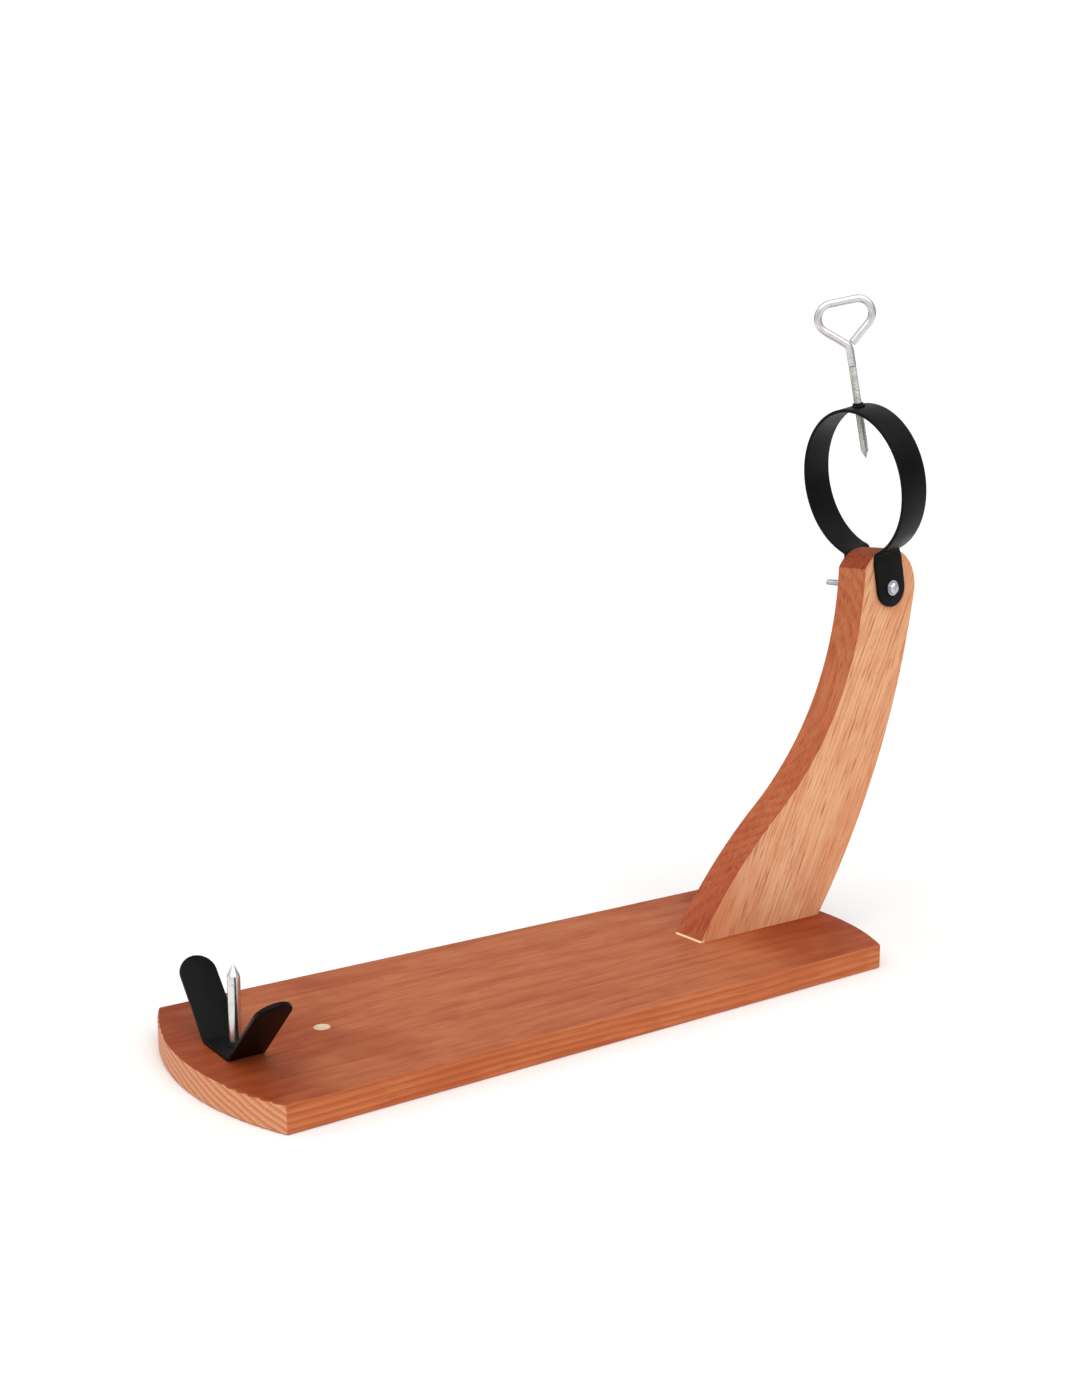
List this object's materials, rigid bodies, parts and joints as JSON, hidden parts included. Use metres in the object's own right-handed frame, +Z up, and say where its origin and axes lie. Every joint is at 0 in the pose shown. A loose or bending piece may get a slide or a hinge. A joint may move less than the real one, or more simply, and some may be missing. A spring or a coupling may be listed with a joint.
{
  "type": "ham holder stand",
  "caption": "Wooden stand that holds a whole cured leg for carving, with a leaning arm, a hinged steel ring with a clamping screw, and a V-shaped rest with a spike.",
  "frame": {"origin": "centre of the base board's underside, on the table", "axes": "+X along the board from the spike end to the arm end, +Y away from the carver, +Z up"},
  "size_m": [0.6202, 0.187, 0.4944],
  "materials": {
    "board_wood": "oiled reddish-brown softwood, satin",
    "arm_wood": "oiled reddish-brown softwood, satin",
    "black_steel": "satin black coating on flat steel strip",
    "spike_steel": "turned bright steel",
    "threaded_steel": "dull grey threaded rod",
    "zinc_wire": "bright zinc-plated round rod",
    "zinc_fasteners": "bright zinc plating"
  },
  "bodies": {
    "stand": {"base_board": "board_wood", "upright_arm": "arm_wood", "arm_screws": "zinc_fasteners", "rest_bracket": "black_steel", "spike": "spike_steel", "spike_collar": "black_steel", "spike_washer": "zinc_fasteners", "spike_nut": "zinc_fasteners", "pivot_bolt": "zinc_fasteners", "pivot_head_washer": "zinc_fasteners", "pivot_far_washer": "zinc_fasteners", "pivot_nut": "zinc_fasteners"},
    "ring": {"ring_strap": "black_steel", "ring_boss": "black_steel"},
    "screw": {"clamp_screw_shank": "threaded_steel"},
    "handle": {"clamp_screw_handle": "zinc_wire"}
  },
  "joints": [
    {"name": "ring_pivot", "type": "hinge", "parent": "stand", "child": "ring", "pos_m": [0.3266, 0, 0.272], "axis": [0, 1, 0], "range_deg": [-110, 90]},
    {"name": "screw_advance", "type": "slide", "parent": "ring", "child": "screw", "axis": [-0.2111, 0.0454, 0.9764], "range_m": [-0.0255, 0.0305]},
    {"name": "screw_turn", "type": "hinge", "parent": "screw", "child": "handle", "pos_m": [0.29632, -0.0033, 0.41207], "axis": [-0.2111, 0.0454, 0.9764], "range_deg": [-9000, 10800]}
  ],
  "couplings": [
    {"joint": "screw_advance", "follows": "screw_turn", "m_per_rad": 0.00015915}
  ]
}
